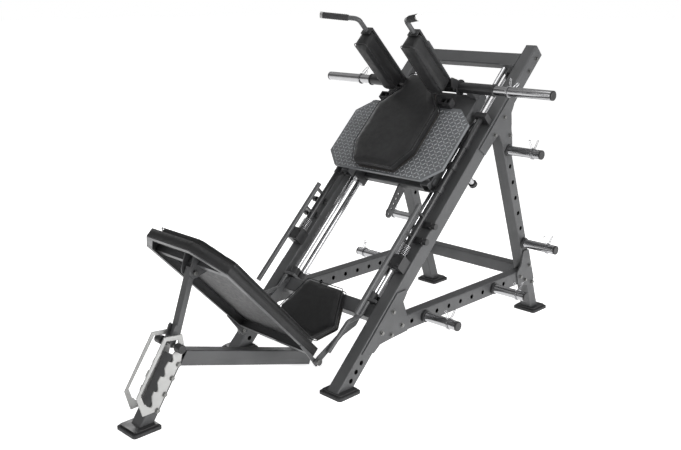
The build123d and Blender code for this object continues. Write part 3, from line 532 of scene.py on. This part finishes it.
def lozenge(bm, x, along, turn):
    """One raised lens of the tread, lying at 45 degrees."""
    c, s = math.cos(turn), math.sin(turn)
    rims = []
    for scale, lift in TREAD_RIMS:
        rim = []
        depth = PLATE_FACE - TREAD_HEIGHT * lift
        for i in range(TREAD_SIDES):
            angle = 2 * math.pi * i / TREAD_SIDES
            u = math.cos(angle) * TREAD_LENGTH / 2 * (0.4 + 0.6 * scale)
            v = math.sin(angle) * abs(math.sin(angle)) ** 0.3 * TREAD_WIDTH / 2 * scale
            rim.append(bm.verts.new(slope(x + u * c - v * s, depth, along + u * s + v * c)))
        rims.append(rim)
    for low, high in zip(rims, rims[1:]):
        for i in range(TREAD_SIDES):
            j = (i + 1) % TREAD_SIDES
            bm.faces.new((low[i], low[j], high[j], high[i]))
    bm.faces.new(rims[-1])


def tread_pattern(bm):
    """Rows of lozenges that turn left and right in alternation, inside the plate's edge."""
    rows = int((PLATE_HALF[3][1] - PLATE_HALF[0][1]) / TREAD_PITCH)
    for row in range(rows):
        along = PLATE_HALF[0][1] + TREAD_PITCH * (row + 0.7)
        columns = int((plate_half_width(along) - TREAD_MARGIN) / TREAD_PITCH)
        for column in range(-columns, columns + 1):
            turn = math.radians(45 if (row + column) % 2 else -45)
            lozenge(bm, column * TREAD_PITCH, along, turn)


# the raised lozenges wear the lighter paint: a painted highlight on their tops, with some polish
new_object("tread_lozenges", solid_from("tread_lozenges", tread_pattern), "tread_wear_and_highlight", "carriage")


# ---------------------------------------------------------------- tray cover, and painted shade inside the tray's hollow
TRAY_OUTLINE = mirrored_outline([(0.272, 0.032), (0.296, -0.700), (0.152, -0.828)])
TRAY_WALL, TRAY_CORNER = 0.046, 0.006
SKIRT_T, SKIRT_LOW, SKIRT_GAP = 0.0022, 0.0045, 0.0005
# dark boards under the tray's ceiling: painted shade inside the hollow tray, darkest along its walls
# and head
SHADE_LOW, SHADE_HIGH = 0.0405, 0.0428                # under the tray's ceiling
BOARD_HALF, SHADE_EDGE, HEAD_HALF = 0.225, 0.262, 0.140
SHADE_FOOT_END, SHADE_SPLIT_AT, SHADE_HEAD_END = -0.010, -0.560, -0.790


def ring_band(bm, outer, inner, low, high):
    """A closed band in the tray frame, between two outlines and two heights."""
    rings = []
    for route, height in ((inner, low), (outer, low), (outer, high), (inner, high)):
        rings.append([bm.verts.new(tray(point.x, point.y, height)) for point in route])
    for first, second in zip(rings, rings[1:] + rings[:1]):
        for i in range(len(first)):
            j = (i + 1) % len(first)
            bm.faces.new((first[i], first[j], second[j], second[i]))


def tray_skirt(bm):
    """Vinyl pulled down over the outside of the tray, above its light return flange."""
    inner = rounded(TRAY_OUTLINE, TRAY_CORNER)
    centre = sum(inner, Vector((0, 0))) / len(inner)
    outer = [point + (point - centre).normalized() * SKIRT_T for point in inner]
    ring_band(bm, outer, inner, SKIRT_LOW, TRAY_WALL - SKIRT_GAP)


def shade_strip(bm, x0, x1, down0, down1):
    """One thin dark board against the tray's ceiling: painted shade inside the hollow tray."""
    corners = ((x0, down0), (x1, down0), (x1, down1), (x0, down1))
    low = [bm.verts.new(tray(x, down, SHADE_LOW)) for x, down in corners]
    high = [bm.verts.new(tray(x, down, SHADE_HIGH)) for x, down in corners]
    bm.faces.new(low)
    bm.faces.new(high)
    for i in range(4):
        j = (i + 1) % 4
        bm.faces.new((low[i], low[j], high[j], high[i]))


def tray_shade_strips(bm):
    """Darker strips round the board, at the head and along both sides: painted shade along the tray's
    walls.
    """
    shade_strip(bm, -HEAD_HALF, HEAD_HALF, SHADE_HEAD_END, SHADE_SPLIT_AT)
    for side in (-1, 1):
        shade_strip(bm, side * BOARD_HALF, side * SHADE_EDGE, SHADE_SPLIT_AT, SHADE_FOOT_END)


# the dark board in the middle of the tray's ceiling: painted shade inside the hollow
def tray_shade_board(bm):
    shade_strip(bm, -BOARD_HALF, BOARD_HALF, SHADE_SPLIT_AT, SHADE_FOOT_END)


new_object("tray_skirt", solid_from("tray_skirt", tray_skirt), "vinyl", "backrest")
# dark boards that paint the shade inside the hollow tray
for name, build, material in (("tray_shade_strips", tray_shade_strips, "black_plastic"),
                              ("tray_shade_board", tray_shade_board, "painted_shade_board")):
    new_object(name, solid_from(name, build), material, "backrest", smooth=False)

# ---------------------------------------------------------------- moulded ridges round the hand grips
# across, behind the rails and up the slope
GRIP_TIP, GRIP_KNEE = Vector((0.335, -0.758, 1.673)), Vector((0.161, -0.670, 1.735))
RIDGE_COUNT, RIDGE_START, RIDGE_PITCH = 13, 0.0205, 0.0098
GRIP_RADIUS, RIDGE_WIRE, RIDGE_STEPS, RIDGE_SIDES = 0.0160, 0.0016, 28, 6


def grip_ridge(bm, centre, axis):
    """One round ring about the axis of a grip."""
    turn = axis.to_track_quat("Z", "Y")
    rings = []
    for i in range(RIDGE_STEPS):
        angle = 2 * math.pi * i / RIDGE_STEPS
        ring = []
        for k in range(RIDGE_SIDES):
            around = 2 * math.pi * k / RIDGE_SIDES
            reach = GRIP_RADIUS + RIDGE_WIRE * math.cos(around)
            rise = RIDGE_WIRE * math.sin(around)
            spot = Vector((reach * math.cos(angle), reach * math.sin(angle), rise))
            ring.append(bm.verts.new(centre + turn @ spot))
        rings.append(ring)
    for first, second in zip(rings, rings[1:] + rings[:1]):
        for k in range(RIDGE_SIDES):
            m = (k + 1) % RIDGE_SIDES
            bm.faces.new((first[k], first[m], second[m], second[k]))


def grip_ridges(bm):
    along = (GRIP_TIP - GRIP_KNEE).normalized()
    for side in (-1, 1):
        axis = slope(side * along.x, along.y, along.z) - slope(0, 0, 0)
        for i in range(RIDGE_COUNT):
            spot = GRIP_TIP - along * (RIDGE_START + RIDGE_PITCH * i)
            grip_ridge(bm, slope(side * spot.x, spot.y, spot.z), axis)


new_object("grip_ridges", solid_from("grip_ridges", grip_ridges), "rubber", "carriage")

# ---------------------------------------------------------------- camera, lights, floor
CAMERA_PLACE = (2.996, -3.0175, 1.819)
CAMERA_PITCH, CAMERA_HEADING = 75.0, 44.81              # degrees
LENS_MM, SENSOR_MM = 45.36, 36
ROOM_STRENGTH = 0.60
FLOOR_REACH, FLOOR_GLOW = 60.0, 0.75

camera_data = bpy.data.cameras.new("camera")
camera_data.lens = LENS_MM
camera_data.sensor_width = SENSOR_MM
camera = bpy.data.objects.new("camera", camera_data)
camera.location = CAMERA_PLACE
camera.rotation_euler = (math.radians(CAMERA_PITCH), 0, math.radians(CAMERA_HEADING))
scene.collection.objects.link(camera)
scene.camera = camera


def area_light(name, place, target, size, power):
    """A rectangular soft box that faces a target."""
    data = bpy.data.lights.new(name, "AREA")
    data.shape = "RECTANGLE"
    data.size, data.size_y = size
    data.energy = power
    lamp = bpy.data.objects.new(name, data)
    lamp.location = place
    lamp.rotation_euler = (Vector(target) - Vector(place)).to_track_quat("-Z", "Y").to_euler()
    scene.collection.objects.link(lamp)


area_light("key_right", (4.8, -0.1, 2.2), (0, 0, 0.8), (3.2, 2.6), 210)
area_light("fill_front", (-1.2, -4.8, 2.8), (0, 0, 0.8), (2.6, 1.6), 38)
area_light("top", (0.2, 0.6, 4.8), (0, 0, 0.6), (3.0, 3.0), 60)
area_light("rim_left", (-4.4, 1.8, 2.6), (0, 0, 0.9), (1.6, 2.4), 45)

# polished steel reflects a banded room, as height share and grey; the camera sees plain white
ROOM_BANDS = ((0.0, 0.55), (0.49, 0.30), (0.53, 0.05), (0.60, 0.75),
              (0.68, 0.08), (0.82, 0.90), (1.0, 0.20))
world = bpy.data.worlds.new("studio")
world.use_nodes = True
room_tree = world.node_tree
room = room_tree.nodes["Background"]
room.inputs["Strength"].default_value = ROOM_STRENGTH
split = room_tree.nodes.new("ShaderNodeSeparateXYZ")
direction = room_tree.nodes.new("ShaderNodeTexCoord")
room_tree.links.new(direction.outputs["Generated"], split.inputs[0])
height = room_tree.nodes.new("ShaderNodeMapRange")
height.inputs["From Min"].default_value = -1.0
room_tree.links.new(split.outputs["Z"], height.inputs["Value"])
bands = room_tree.nodes.new("ShaderNodeValToRGB")
bands.color_ramp.elements[0].color = (*grey(ROOM_BANDS[0][1]), 1)
bands.color_ramp.elements[1].color = (*grey(ROOM_BANDS[-1][1]), 1)
for position, value in ROOM_BANDS[1:-1]:
    bands.color_ramp.elements.new(position).color = (*grey(value), 1)
room_tree.links.new(height.outputs["Result"], bands.inputs["Fac"])
room_tree.links.new(bands.outputs["Color"], room.inputs["Color"])
backdrop = room_tree.nodes.new("ShaderNodeBackground")
backdrop.inputs["Color"].default_value = (1, 1, 1, 1)
seen = room_tree.nodes.new("ShaderNodeMixShader")
ray = room_tree.nodes.new("ShaderNodeLightPath")
room_tree.links.new(ray.outputs["Is Camera Ray"], seen.inputs[0])
room_tree.links.new(room.outputs["Background"], seen.inputs[1])
room_tree.links.new(backdrop.outputs["Background"], seen.inputs[2])
room_tree.links.new(seen.outputs["Shader"], room_tree.nodes["World Output"].inputs["Surface"])
scene.world = world
scene.view_settings.view_transform = "Standard"

floor_mesh = bpy.data.meshes.new("floor")
floor_corners = [(x * FLOOR_REACH, y * FLOOR_REACH, 0) for x, y in ((-1, -1), (1, -1), (1, 1), (-1, 1))]
floor_mesh.from_pydata(floor_corners, [], [(0, 1, 2, 3)])
floor = bpy.data.objects.new("floor", floor_mesh)
scene.collection.objects.link(floor)
floor_material, floor_tree, floor_shader, floor_place = node_tree("floor")
floor_colour = mottle(floor_tree, floor_place, 0.8, grey(0.90), grey(0.93))
floor_tree.links.new(floor_colour, floor_shader.inputs["Base Color"])
floor_shader.inputs["Roughness"].default_value = 0.9
floor_shader.inputs["Specular IOR Level"].default_value = 0.1
floor_shader.inputs["Emission Color"].default_value = (1, 1, 1, 1)
floor_shader.inputs["Emission Strength"].default_value = FLOOR_GLOW
floor_mesh.materials.append(floor_material)
